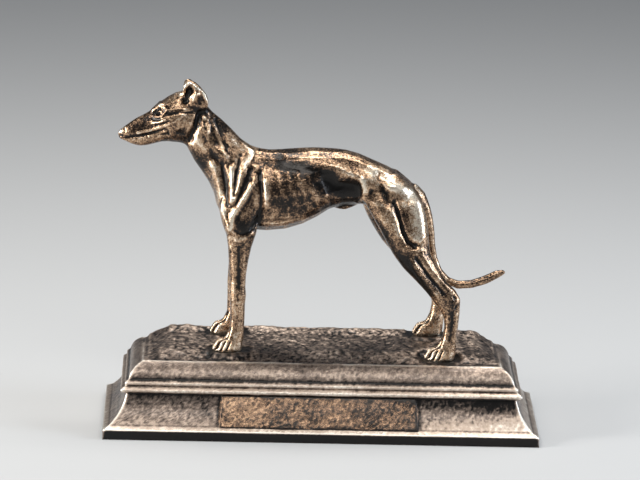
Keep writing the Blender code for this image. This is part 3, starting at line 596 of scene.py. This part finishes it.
class Patina:
    """Builds the shader group that all the statue's finishes share, and the finishes."""

    def __init__(self, colours):
        self.colours = colours
        self.group = bpy.data.node_groups.get(PATINA_GROUP)
        if not self.group:
            self.group = bpy.data.node_groups.new(PATINA_GROUP, "ShaderNodeTree")
            self.add_sockets()
            self.build()

    def add_sockets(self):
        face = self.group.interface
        for name in ("Rub and light", "Grime and shade", "Matte", "Contrast", "Grain size", "Grain height"):
            face.new_socket(name=name, in_out="INPUT", socket_type="NodeSocketFloat")
        face.new_socket(name="Color", in_out="OUTPUT", socket_type="NodeSocketColor")
        for name in ("Roughness", "Metallic", "Height"):
            face.new_socket(name=name, in_out="OUTPUT", socket_type="NodeSocketFloat")

    def add(self, kind, **settings):
        node = self.group.nodes.new(kind)
        for name, value in settings.items():
            setattr(node, name, value)
        return node

    def wire(self, source, target):
        if isinstance(source, (int, float, tuple)):
            target.default_value = source
        else:
            self.group.links.new(source, target)

    def math(self, operation, first, second=0.0, clamp=False):
        node = self.add("ShaderNodeMath", operation=operation, use_clamp=clamp)
        self.wire(first, node.inputs[0])
        self.wire(second, node.inputs[1])
        return node.outputs[0]

    def plus(self, total, value, share):
        return self.math("ADD", total, self.math("MULTIPLY", value, share))

    def ranged(self, value, low, high, to_low=0.0, to_high=1.0):
        node = self.add("ShaderNodeMapRange", clamp=True, interpolation_type="SMOOTHSTEP")
        for source, socket in zip((value, low, high, to_low, to_high), node.inputs):
            self.wire(source, socket)
        return node.outputs["Result"]

    def noise(self, place, scale, detail, roughness=0.55):
        node = self.add("ShaderNodeTexNoise")
        self.wire(place, node.inputs["Vector"])
        self.wire(scale, node.inputs["Scale"])
        node.inputs["Detail"].default_value = detail
        node.inputs["Roughness"].default_value = roughness
        return node.outputs["Fac"]

    def mixed(self, share, first, second):
        node = self.add("ShaderNodeMix", data_type="RGBA")
        self.wire(share, node.inputs["Factor"])
        self.wire(first, node.inputs[6])
        self.wire(second, node.inputs[7])
        return node.outputs[2]

    def build(self):
        given = self.add("NodeGroupInput").outputs
        place = self.add("ShaderNodeTexCoord").outputs["Object"]
        step = self.math("DIVIDE", 1.0, given["Grain size"])
        fine = self.noise(place, step, 3.0, 0.6)
        coarse = self.noise(place, self.math("DIVIDE", step, 2.4), 2.0, 0.5)
        finer = self.noise(place, self.math("MULTIPLY", step, 2.7), 2.0, 0.6)
        mottle = self.noise(place, 160.0, 4.0, 0.6)
        broad = self.noise(place, 48.0, 3.0, 0.5)
        speckle = self.noise(place, self.math("MULTIPLY", step, 1.25), 2.0, 0.7)
        # Wear from 0 to 1, with the painted highlights and shade laid into it.
        rub_and_light = given["Rub and light"]
        even = self.ranged(given["Matte"], 0.0, 1.0, 1.0, 0.45)
        contrast = self.math("MULTIPLY", given["Contrast"], even)
        for pattern, share in ((fine, 1.0), (coarse, 0.6), (mottle, 0.4), (broad, 0.25)):
            change = self.math("MULTIPLY", self.math("SUBTRACT", pattern, 0.5), contrast)
            rub_and_light = self.plus(rub_and_light, change, share)
        rub_and_light = self.math("SUBTRACT", rub_and_light, given["Grime and shade"])
        names = ("dark_colour", "brown_colour", "copper_colour", "gold_colour")
        dark, brown, copper, gold = ((*getattr(self.colours, name), 1.0) for name in names)
        colour = self.mixed(self.ranged(rub_and_light, 0.02, 0.42), dark, brown)
        colour = self.mixed(self.ranged(rub_and_light, 0.34, 0.80), colour, copper)
        colour = self.mixed(self.ranged(rub_and_light, 0.78, 1.35), colour, gold)
        rubbed = self.ranged(given["Rub and light"], 0.05, 0.5)
        flecks = self.math("MULTIPLY", self.ranged(speckle, 0.66, 0.74), rubbed)
        colour = self.mixed(self.math("MULTIPLY", flecks, 0.7), colour, copper)
        # Dirt in the hollows and painted shade both darken the colour towards near black.
        grime_and_shade = self.ranged(given["Grime and shade"], 0.1, 1.0, 0.0, 0.85)
        colour = self.mixed(grime_and_shade, colour, DIRT_AND_SHADE)
        grey = self.add("ShaderNodeHueSaturation")
        self.wire(colour, grey.inputs["Color"])
        self.wire(self.ranged(given["Matte"], 0.0, 0.7, 1.0, 0.58), grey.inputs["Saturation"])
        colour = grey.outputs["Color"]
        rough = self.ranged(rub_and_light, 0.0, 1.0, 0.22, 0.32)
        rough = self.plus(rough, self.math("SUBTRACT", finer, 0.5), 0.30)
        rough = self.plus(rough, given["Matte"], 0.16)
        rough = self.math("ADD", rough, self.math("MULTIPLY", grime_and_shade, 0.25), clamp=True)
        metal = self.ranged(rub_and_light, 0.0, 0.55, 0.86, 1.0)
        height = self.plus(self.math("MULTIPLY", fine, 0.40), finer, 0.12)
        height = self.plus(height, coarse, 0.70)
        height = self.math("MULTIPLY", height, given["Grain height"])
        out = self.add("NodeGroupOutput")
        for source, socket in zip((colour, rough, metal, height), out.inputs):
            self.wire(source, socket)

    def finish(self, name, grain_size, grain_height, contrast):
        made, shader = new_material(name)
        nodes, links = made.node_tree.nodes, made.node_tree.links
        patina = nodes.new("ShaderNodeGroup")
        patina.node_tree = self.group
        patina.inputs["Contrast"].default_value = contrast
        patina.inputs["Grain size"].default_value = grain_size
        patina.inputs["Grain height"].default_value = grain_height
        for attribute, socket in (("rub_and_light", "Rub and light"), ("grime_and_shade", "Grime and shade"), ("matte", "Matte")):
            mask = nodes.new("ShaderNodeAttribute")
            mask.attribute_name = attribute
            links.new(mask.outputs["Fac"], patina.inputs[socket])
        bump = nodes.new("ShaderNodeBump")
        bump.inputs["Strength"].default_value = 1.0
        bump.inputs["Distance"].default_value = 1.0
        links.new(patina.outputs["Height"], bump.inputs["Height"])
        links.new(bump.outputs["Normal"], shader.inputs["Normal"])
        links.new(patina.outputs["Color"], shader.inputs["Base Color"])
        links.new(patina.outputs["Roughness"], shader.inputs["Roughness"])
        links.new(patina.outputs["Metallic"], shader.inputs["Metallic"])
        shader.inputs["Coat Weight"].default_value = WAX_WEIGHT
        shader.inputs["Coat Roughness"].default_value = WAX_ROUGHNESS
        return made


def name_and_dress(obj, name, finish):
    obj.name = name
    obj.data.name = name
    obj.data.materials.clear()
    obj.data.materials.append(finish)


def plain_material(name, colour, roughness):
    made, shader = new_material(name)
    shader.inputs["Base Color"].default_value = (*colour, 1.0)
    shader.inputs["Roughness"].default_value = roughness
    return made


class STATUE_OT_stage(bpy.types.Operator):
    """Adds the floor, the soft lights, the room light and the camera"""

    bl_idname = "statue.stage"
    bl_label = "Stage"

    def execute(self, context):
        settings = context.scene.statue_stage
        self.add_floor(settings)
        warm = (1.0, 0.97, 0.92)
        cool = (0.80, 0.89, 1.0)
        chest_power = CHEST_SHARE * settings.side_power
        self.add_light("overhead", (0.05, 0.28, 1.30), (1.1, 0.34), warm, settings.key_power)
        self.add_light("front", (-0.10, -1.05, 1.25), (1.3, 0.45), warm, settings.front_power)
        self.add_light("chest_side", (-1.30, -0.42, 0.42), (0.34, 0.9), warm, chest_power)
        self.add_light("rump_side", (1.30, -0.22, 0.50), (0.30, 0.9), cool, settings.side_power)
        world = bpy.data.worlds.new("room")
        world.use_nodes = True
        room = world.node_tree.nodes["Background"]
        room.inputs["Color"].default_value = (0.80, 0.86, 0.95, 1.0)
        room.inputs["Strength"].default_value = settings.room_light
        context.scene.world = world
        context.scene.view_settings.view_transform = "Standard"
        self.add_camera(context, settings)
        return {"FINISHED"}

    def add_floor(self, settings):
        deselect_all()
        bpy.ops.mesh.primitive_plane_add(size=1.0, location=(0.0, 0.0, 0.0))
        floor = bpy.context.object
        floor.name = "floor"
        bpy.ops.object.mode_set(mode="EDIT")
        bpy.ops.transform.resize(value=(FLOOR_WIDTH, FLOOR_WIDTH, 1.0))
        bpy.ops.object.mode_set(mode="OBJECT")
        floor.data.materials.append(plain_material("floor_paper", settings.floor_colour, 0.75))

    def add_light(self, name, place, size, colour, power):
        lamp = bpy.data.lights.new(name, "AREA")
        lamp.shape = "RECTANGLE"
        lamp.size, lamp.size_y = size
        lamp.color = colour
        lamp.energy = power
        holder = bpy.data.objects.new(name, lamp)
        holder.location = place
        aim = LIGHT_AIM - Vector(place)
        holder.rotation_euler = aim.to_track_quat("-Z", "Y").to_euler()
        bpy.context.scene.collection.objects.link(holder)

    def add_camera(self, context, settings):
        rise, turn, roll = (math.radians(angle) for angle in CAMERA_ANGLES)
        level = math.cos(rise)
        back = Vector((math.sin(turn) * level, -math.cos(turn) * level, math.sin(rise)))
        place = CAMERA_AIM + back * settings.camera_distance
        right = (-back).cross(Vector((0, 0, 1))).normalized()
        up = right.cross(-back)
        across = right * math.cos(roll) + up * math.sin(roll)
        upright = up * math.cos(roll) - right * math.sin(roll)
        lens = bpy.data.cameras.new("camera")
        lens.sensor_width = SENSOR_WIDTH
        lens.lens = settings.lens
        camera = bpy.data.objects.new("camera", lens)
        turned = Matrix((across, upright, back)).transposed().to_4x4()
        camera.matrix_world = Matrix.Translation(place) @ turned
        context.scene.collection.objects.link(camera)
        context.scene.camera = camera


class STATUE_OT_plinth(bpy.types.Operator):
    """Models the plinth's mouldings, tablets and rough ground"""

    bl_idname = "statue.plinth"
    bl_label = "Plinth"

    def execute(self, context):
        settings = context.scene.statue_plinth
        plinth = self.add_mouldings()
        self.divide(plinth)
        self.roughen(plinth, settings)
        tablets = [self.add_tablet(side) for side in (-1, 1)]
        self.mark(plinth, 0.0)
        for tablet in tablets:
            self.mark(tablet, 1.0)
        make_active(plinth)
        for tablet in tablets:
            tablet.select_set(True)
        bpy.ops.object.join()
        bpy.ops.object.shade_smooth()
        patina = Patina(context.scene.statue_patina)
        finish = patina.finish("plinth_finish", PLINTH_GRAIN, settings.grain_height, PLINTH_CONTRAST)
        name_and_dress(plinth, "plinth_cast", finish)
        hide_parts("plinth")
        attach(plinth, "root")
        return {"FINISHED"}

    def add_mouldings(self):
        """Extrudes the rim upwards, row by row, and scales each row to its inset."""
        rows = fine_profile()
        deselect_all()
        bpy.ops.mesh.primitive_plane_add(size=2.0, location=(0.0, 0.0, 0.0))
        plinth = bpy.context.object
        bpy.ops.object.mode_set(mode="EDIT")
        bpy.ops.transform.resize(value=(RIM.x, RIM.y, 1.0))
        for (inset, height), (next_inset, next_height) in zip(rows, rows[1:]):
            bpy.ops.mesh.extrude_region_move(
                TRANSFORM_OT_translate={"value": (0.0, 0.0, next_height - height)}
            )
            shrink = [(half - next_inset) / (half - inset) for half in (RIM.x, RIM.y)]
            bpy.ops.transform.resize(value=(*shrink, 1.0), center_override=(0.0, 0.0, next_height))
        bpy.ops.object.mode_set(mode="OBJECT")
        return plinth

    def divide(self, plinth):
        """Cuts every long face into short ones, first along the plinth and then across it."""
        make_active(plinth)
        bpy.ops.object.mode_set(mode="EDIT")
        mesh = bmesh.from_edit_mesh(plinth.data)
        under = [f for f in mesh.faces if f.calc_center_median().z < TOUCH]
        bmesh.ops.delete(mesh, geom=under, context="FACES_ONLY")
        bmesh.update_edit_mesh(plinth.data)
        cut_edges(plinth, 0, (15, 15), straight=0.9)
        cut_edges(plinth, 1, (11, 7), straight=0.9)
        bpy.ops.mesh.select_all(action="DESELECT")
        mesh = bmesh.from_edit_mesh(plinth.data)
        for edge in mesh.edges:
            edge.select_set(edge.is_boundary)
        bmesh.update_edit_mesh(plinth.data)
        bpy.ops.mesh.edge_face_add()
        bpy.ops.mesh.select_all(action="SELECT")
        bpy.ops.mesh.normals_make_consistent(inside=False)
        bpy.ops.object.mode_set(mode="OBJECT")

    def roughen(self, plinth, settings):
        mesh = plinth.data
        points = points_of(mesh)
        half_x, half_y, edge = top_edge()
        on_top = (points[:, 2] > edge - TOUCH) & (np.abs(points[:, 0]) < half_x + 10 * TOUCH)
        points[on_top, 2] = edge + ground_height(points[on_top], settings.ground_rise)
        edges = edges_of(mesh)
        corner = np.abs((RIM.x - np.abs(points[:, 0])) - (RIM.y - np.abs(points[:, 1])))
        rounding = (1 - smooth_step(*CORNER_ROUNDING, corner)) * (points[:, 2] > TOUCH)
        points = points + (spread(points, edges, 3) - points) * rounding[:, None]
        set_points(mesh, points)
        normals = normals_of(mesh)
        lift = settings.wobble * layered(points, WAVES) * smooth_step(0.0, 0.002, points[:, 2])
        moved = points + normals * lift[:, None]
        under = points[:, 2] < TOUCH
        moved[under] = points[under]
        moved[:, 0] = np.clip(moved[:, 0], -RIM.x, RIM.x)
        moved[:, 1] = np.clip(moved[:, 1], -RIM.y, RIM.y)
        set_points(mesh, moved)

    def add_tablet(self, side):
        """The flat slab in the middle of a long side's panel."""
        foot, head = panel_foot(), panel_head()
        deselect_all()
        bpy.ops.mesh.primitive_cube_add(size=2.0, location=(0.0, 0.0, 0.0))
        tablet = bpy.context.object
        bpy.ops.object.mode_set(mode="EDIT")
        mesh = bmesh.from_edit_mesh(tablet.data)
        for vert in mesh.verts:
            upper = vert.co.z > 0
            inset, height = head if upper else foot
            buried = 0.0 if vert.co.y > 0 else TABLET_DEPTH
            half = TABLET_LENGTH / 2 - (TABLET_TAPER if upper else 0.0)
            half += TABLET_SLOPE * (buried - TABLET_PROUD)
            out = RIM.y - inset + TABLET_PROUD - buried
            height += TABLET_SUNK if upper else -TABLET_SUNK
            vert.co = Vector((vert.co.x * half + TABLET_SHIFT, side * out, height))
        bmesh.update_edit_mesh(tablet.data)
        bpy.ops.mesh.select_all(action="SELECT")
        bpy.ops.mesh.normals_make_consistent(inside=False)
        bpy.ops.mesh.bevel(offset=TABLET_BEVEL, segments=3, affect="EDGES")
        cut_edges(tablet, 0, (15, 5), straight=0.7, shortest=0.0015)
        cut_edges(tablet, 2, (13,), straight=0.7, shortest=0.0015)
        bpy.ops.object.mode_set(mode="OBJECT")
        points = points_of(tablet.data)
        normals = normals_of(tablet.data)
        lift = layered(points, TABLET_LUMPS)
        set_points(tablet.data, points + normals * lift[:, None])
        return tablet

    def mark(self, obj, is_tablet):
        """Stores where the patina is rubbed off, where it has gathered dirt, and where shade is painted.
        """
        mesh = obj.data
        points, normals, edges = points_of(mesh), normals_of(mesh), edges_of(mesh)
        x, y, z = np.abs(points[:, 0]), np.abs(points[:, 1]), points[:, 2]
        sharp = np.clip(stands_proud(points, normals, edges, 3), -0.2, 0.2)
        broad = np.clip(stands_proud(points, normals, edges, 14), -0.3, 0.4)
        half_x, half_y, edge = top_edge()
        border = np.minimum(half_x - x, half_y - y)
        on_top = smooth_step(edge - 0.0015, edge + 0.0002, z) * smooth_step(0.0002, 0.0014, border)
        level = lumpy(points, 0.020, 3, 60.0)
        patches = lumpy(points, 0.045, 2, 64.0)
        foot, head = panel_foot()[1], panel_head()[1]
        beads_end = head + BEAD_ROWS * BEAD_PITCH
        up_panel = np.clip((z - foot) / (head - foot), 0, 1)
        panel = band(z, (foot, foot + 0.001), (head - 0.001, head + 0.001)) * (1 - is_tablet)
        to_right = smooth_step(0.02, 0.13, points[:, 0]) * panel
        to_left = smooth_step(0.02, 0.06, TABLET_SHIFT - points[:, 0])
        # What each area, and further down each line, adds: 0 is dark patina and 1 is bare metal. Some of
        # them paint shade, as marked below.
        areas = (
            (0.16, panel),
            (-0.28, panel * smooth_step(0.45, 1.0, up_panel)),
            (0.42, to_right),
            # Painted shade over the right panel's head.
            (-0.80, to_right * smooth_step(0.05, 0.95, up_panel)),
            (-0.16, is_tablet),
            (0.22, to_left * is_tablet),
            (0.20, band(z, (head, head + 0.001), (beads_end, beads_end + 0.001))),
            (-0.16, smooth_step(beads_end, beads_end + 0.002, z)),
        )
        rub_and_light = 0.46 + 0.13 * level + 0.10 * patches + 2.6 * sharp + 0.9 * broad
        rub_and_light += sum(share * mask for share, mask in areas)
        # Painted contact shadow: the ground is darker around the paws.
        ground = 0.44 + 0.16 * level + 0.9 * sharp + 0.6 * broad - 0.60 * self.paw_contact_shadow(points)
        rub_and_light = rub_and_light * (1 - on_top) + ground * on_top
        inset = np.minimum(RIM.x - x, RIM.y - y)
        corner = np.abs((RIM.x - x) - (RIM.y - y))
        low, high = RIM_HEIGHT - 0.0009, foot
        ledge = band(z, (low, low + 0.0008), (high - 0.0006, high + 0.0004))
        # Painted shade: the rim's upright face, below its top ledge.
        rim_face_shade = (1 - smooth_step(0.0003, 0.0010, inset)) * (1 - smooth_step(low, low + 0.0008, z))
        past_end = np.abs(points[:, 0] - TABLET_SHIFT) - TABLET_LENGTH / 2 + TABLET_TAPER * up_panel
        at_end = smooth_step(0.3, 0.8, np.abs(normals[:, 0]))
        foot_line = np.exp(-(((z - foot) / 0.0012) ** 2)) * (1 - is_tablet)
        lines = (
            (0.62, ledge),
            (-0.35, ledge * smooth_step(low, high, z)),
            # Painted shade on the rim's upright face.
            (-0.70, rim_face_shade),
            (0.55, np.exp(-((border / 0.0011) ** 2)) * (z > edge - 0.003)),
            (0.50, np.exp(-((corner / 0.0007) ** 2)) * (z > RIM_HEIGHT) * (1 - on_top)),
            (0.60, smooth_step(-0.0011, -0.0005, past_end) * is_tablet),
            # Painted shadow on the panel just past each end of the tablet.
            (-0.50, np.exp(-(((past_end - 0.0007) / 0.0012) ** 2)) * panel),
            (0.05, at_end * (1 - on_top) * (1 - is_tablet)),
            (0.25, foot_line),
        )
        rub_and_light += sum(share * mask for share, mask in lines)
        # The rim's upright face also gets painted shade in this mask.
        grime_and_shade = -1.8 * np.minimum(sharp, 0) - 0.6 * np.minimum(broad, 0) + 0.25 * rim_face_shade
        set_mask(mesh, "rub_and_light", rub_and_light)
        set_mask(mesh, "grime_and_shade", np.clip(grime_and_shade * (1 - 0.85 * foot_line), 0, 1))
        set_mask(mesh, "matte", np.clip(0.8 - 0.7 * is_tablet + 0.2 * on_top, 0, 1))

    def paw_contact_shadow(self, points):
        # Strength of the painted contact shadow: 1 under each paw, fading away from it.
        near = np.zeros(len(points))
        for px, py, half, width, _ in foot_places():
            away = np.hypot((points[:, 0] - px) / half, (points[:, 1] - py) / width)
            near = np.maximum(near, 1 - smooth_step(0.8, 1.9, away))
        return near


class STATUE_OT_greyhound(bpy.types.Operator):
    """Carves the greyhound's fine forms into a close copy of its solid"""

    bl_idname = "statue.greyhound"
    bl_label = "Greyhound"

    def execute(self, context):
        settings = context.scene.statue_figure
        dog = self.copy_solid()
        self.fuse(dog, settings)
        self.carve(dog, settings)
        self.thin(dog, settings)
        self.mark(dog)
        patina = Patina(context.scene.statue_patina)
        finish = patina.finish("figure_finish", FIGURE_GRAIN, settings.grain_height, FIGURE_CONTRAST)
        name_and_dress(dog, "greyhound_cast", finish)
        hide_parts("greyhound")
        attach(dog, "root")
        return {"FINISHED"}

    def copy_solid(self):
        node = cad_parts["greyhound"]
        dog = node.copy()
        dog.data = node.data.copy()
        for key in list(dog.keys()):
            del dog[key]
        dog.parent = None
        bpy.context.scene.collection.objects.link(dog)
        make_active(dog)
        bpy.ops.object.mode_set(mode="EDIT")
        bpy.ops.mesh.select_all(action="SELECT")
        bpy.ops.mesh.remove_doubles(threshold=2 * TOUCH)
        bpy.ops.object.mode_set(mode="OBJECT")
        return dog

    def fuse(self, dog, settings):
        """Gives the copy an even, close mesh, and melts the solid's facets."""
        remesh = dog.modifiers.new("Close mesh", "REMESH")
        remesh.mode = "VOXEL"
        remesh.voxel_size = settings.voxel * 1.0
        apply_all(dog)
        mesh = dog.data
        set_points(mesh, evened(points_of(mesh), normals_of(mesh), edges_of(mesh), EVENING_ROUNDS))

    def side_view(self, points):
        return np.stack([points[:, 0], points[:, 2] - top_edge()[2]], axis=1) / UNIT

    def carve(self, dog, settings):
        mesh = dog.data
        edges = edges_of(mesh)
        for strokes, softening in ((self.broad_strokes, 2), (self.fine_strokes, 1)):
            points, normals = points_of(mesh), normals_of(mesh)
            lift = strokes(points, normals) * settings.carving
            points = points + normals * (lift * UNIT)[:, None]
            set_points(mesh, spread(points, edges, softening, 0.4))

    def flanks(self, points, normals):
        """1 where the surface faces the side that it is on."""
        return smooth_step(0.10, 0.55, normals[:, 1] * np.sign(points[:, 1]))

    def broad_strokes(self, points, normals):
        view = self.side_view(points)
        facing = self.flanks(points, normals)
        leg = (view[:, 1] < 46) & (np.abs(points[:, 1]) > 3.5 * UNIT)
        outer = smooth_step(0.1, 0.5, normals[:, 1] * np.sign(points[:, 1]))
        lift = stroked(view, NECK_STROKES) + stroked(view, TRUNK_STROKES)
        height, width, line = RIB_STROKE
        ribs = [
            (height, width, tuple((x + RIB_STEP * i, z) for x, z in line)) for i in range(RIB_COUNT)
        ]
        lift += stroked(view, ribs)
        lift = lift * facing * ~leg
        legs = stroked(view, FORELEG_STROKES) + stroked(view, HIND_STROKES)
        tail = TAIL_SWELL * smooth_step(52.0, 64.0, view[:, 0]) * (view[:, 1] < 45)
        return lift + legs * outer + tail

    def fine_strokes(self, points, normals):
        view = self.side_view(points)
        facing = self.flanks(points, normals)
        head = facing * smooth_step(-40.0, -42.0, view[:, 0]) * (view[:, 1] > 74)
        lift = stroked(view, HEAD_STROKES) * head * (1 - self.on_ear(view, points))
        ear_view = view + np.outer(points[:, 1] > 0, (0.0, FAR_EAR_DROP))
        lift += stroked(ear_view, EAR_STROKES) * self.on_ear(ear_view, points) * facing
        return lift + self.toes(points, normals)

    def on_ear(self, view, points):
        out = smooth_step(3.2, 4.4, np.abs(points[:, 1]) / UNIT)
        return smooth_step(EAR_FOOT, EAR_FOOT + 1.5, view[:, 1]) * (view[:, 0] > -54.0) * out

    def toes(self, points, normals):
        """Grooves between the toes, knuckles along each and a claw at its tip."""
        edge = top_edge()[2]
        lift = np.zeros(len(points))
        for side, tip, middle, sole in PAWS:
            back = points[:, 0] / UNIT - tip
            across = points[:, 1] / UNIT - side * middle
            up = (points[:, 2] - edge) / UNIT - sole
            near = np.flatnonzero(
                (back > -1.5) & (back < 9) & (np.abs(across) < 5) & (up < 8) & (up > -1)
            )
            b, a, u = back[near], across[near], up[near]
            reach = smooth_step(7.0, 4.0, b)
            turned = np.abs(normals[near, 2]) + np.clip(-normals[near, 0], 0, 1)
            open_side = smooth_step(0.2, 0.7, turned)
            fan = 1 + 0.25 * smooth_step(5.0, 0.0, b)
            made = np.zeros(len(near))
            for first, second in zip(TOE_PLACES, TOE_PLACES[1:]):
                gap = (a / fan - (first + second) / 2) / 0.34
                made -= 0.75 * np.exp(-(gap**2)) * reach * open_side
            for place in TOE_PLACES:
                start = 1.5 * (abs(place) > 1.5)
                on = np.exp(-(((a / fan - place) / 0.55) ** 2))
                for height, knuckle in KNUCKLES:
                    made += height * on * np.exp(-(((b - start - knuckle) / 0.9) ** 2)) * open_side
                claw = np.exp(-(((b - start) / 0.6) ** 2) - ((u - 0.9) / 0.6) ** 2)
                made += 0.35 * on * claw
            outer = smooth_step(0.3, 0.8, normals[near, 1] * side)
            for line in SIDE_GAPS:
                away = distance_to_line(np.stack([b, u], axis=1), line)
                made -= 0.60 * np.exp(-((away / 0.40) ** 2)) * outer
            pad = smooth_step(0.7, 0.2, u) * (normals[near, 2] > -0.5)
            made -= 0.15 * pad
            lift[near] += made
        return lift

    def thin(self, dog, settings):
        faces = len(dog.data.polygons) * 2
        if faces > settings.triangles:
            thin = dog.modifiers.new("Thin", "DECIMATE")
            thin.ratio = settings.triangles / faces
            apply_all(dog)
        make_active(dog)
        bpy.ops.object.shade_smooth()

    def mark(self, dog):
        mesh = dog.data
        points, normals, edges = points_of(mesh), normals_of(mesh), edges_of(mesh)
        scale = 1.0
        sharp = stands_proud(points, normals, edges, round(6 * scale))
        broad = stands_proud(points, normals, edges, round(40 * scale))
        view = self.side_view(points)
        # Rubbed and dark patches, which also paint highlights and shade into the dog's colour.
        patch_rub_and_light = stroked(view, RUB_AND_LIGHT_PATCHES) * (0.35 + 0.65 * self.flanks(points, normals))
        level = lumpy(points, 0.016, 3, 70.0)
        # Painted shade: the body's surfaces that face down are made darker.
        low = smooth_step(0.1, -0.7, normals[:, 2]) * (view[:, 1] > 35)
        rub_and_light = 0.34 + 0.28 * level + 1.8 * np.clip(sharp, -0.1, 0.20) + 0.6 * np.clip(broad, -0.3, 0.5)
        rub_and_light = rub_and_light + 0.65 * patch_rub_and_light - 0.30 * low
        paws = smooth_step(9.0, 4.0, view[:, 1])
        tail = smooth_step(50.0, 56.0, view[:, 0]) * (view[:, 1] < 45)
        rub_and_light = rub_and_light + 0.30 * paws - 0.35 * tail
        grime_and_shade = np.clip(-2.5 * sharp, 0, 0.6) + np.clip(-0.9 * broad, 0, 0.6)
        # The dark patches also add their painted shade to this mask.
        grime_and_shade = grime_and_shade - 0.4 * np.clip(patch_rub_and_light, -1, 0)
        set_mask(mesh, "rub_and_light", rub_and_light)
        set_mask(mesh, "grime_and_shade", np.clip(grime_and_shade - 0.06, 0, 1))


class STATUE_PT_panel(bpy.types.Panel):
    """Shows the stage's, the dog's, the plinth's and the patina's settings, and the buttons that build
    the first three
    """

    bl_idname = "STATUE_PT_panel"
    bl_label = "Greyhound Statue"
    bl_space_type = "VIEW_3D"
    bl_region_type = "UI"
    bl_category = "Statue"

    def draw(self, context):
        for operator, group in (
            ("statue.stage", context.scene.statue_stage),
            ("statue.greyhound", context.scene.statue_figure),
            ("statue.plinth", context.scene.statue_plinth),
            (None, context.scene.statue_patina),
        ):
            box = self.layout.box()
            for name in group.__annotations__:
                box.prop(group, name)
            if operator:
                box.operator(operator)


GROUPS = {
    "statue_stage": StatueStageSettings,
    "statue_plinth": StatuePlinthSettings,
    "statue_figure": StatueFigureSettings,
    "statue_patina": StatuePatinaSettings,
}
CLASSES = (*GROUPS.values(), STATUE_OT_stage, STATUE_OT_greyhound, STATUE_OT_plinth, STATUE_PT_panel)


def register():
    for made in CLASSES:
        bpy.utils.register_class(made)
    for name, group in GROUPS.items():
        setattr(bpy.types.Scene, name, bpy.props.PointerProperty(type=group))


def unregister():
    for name in GROUPS:
        delattr(bpy.types.Scene, name)
    for made in reversed(CLASSES):
        bpy.utils.unregister_class(made)


def main():
    register()
    bpy.ops.statue.stage()
    bpy.ops.statue.greyhound()
    bpy.ops.statue.plinth()


if __name__ == "__main__":
    main()
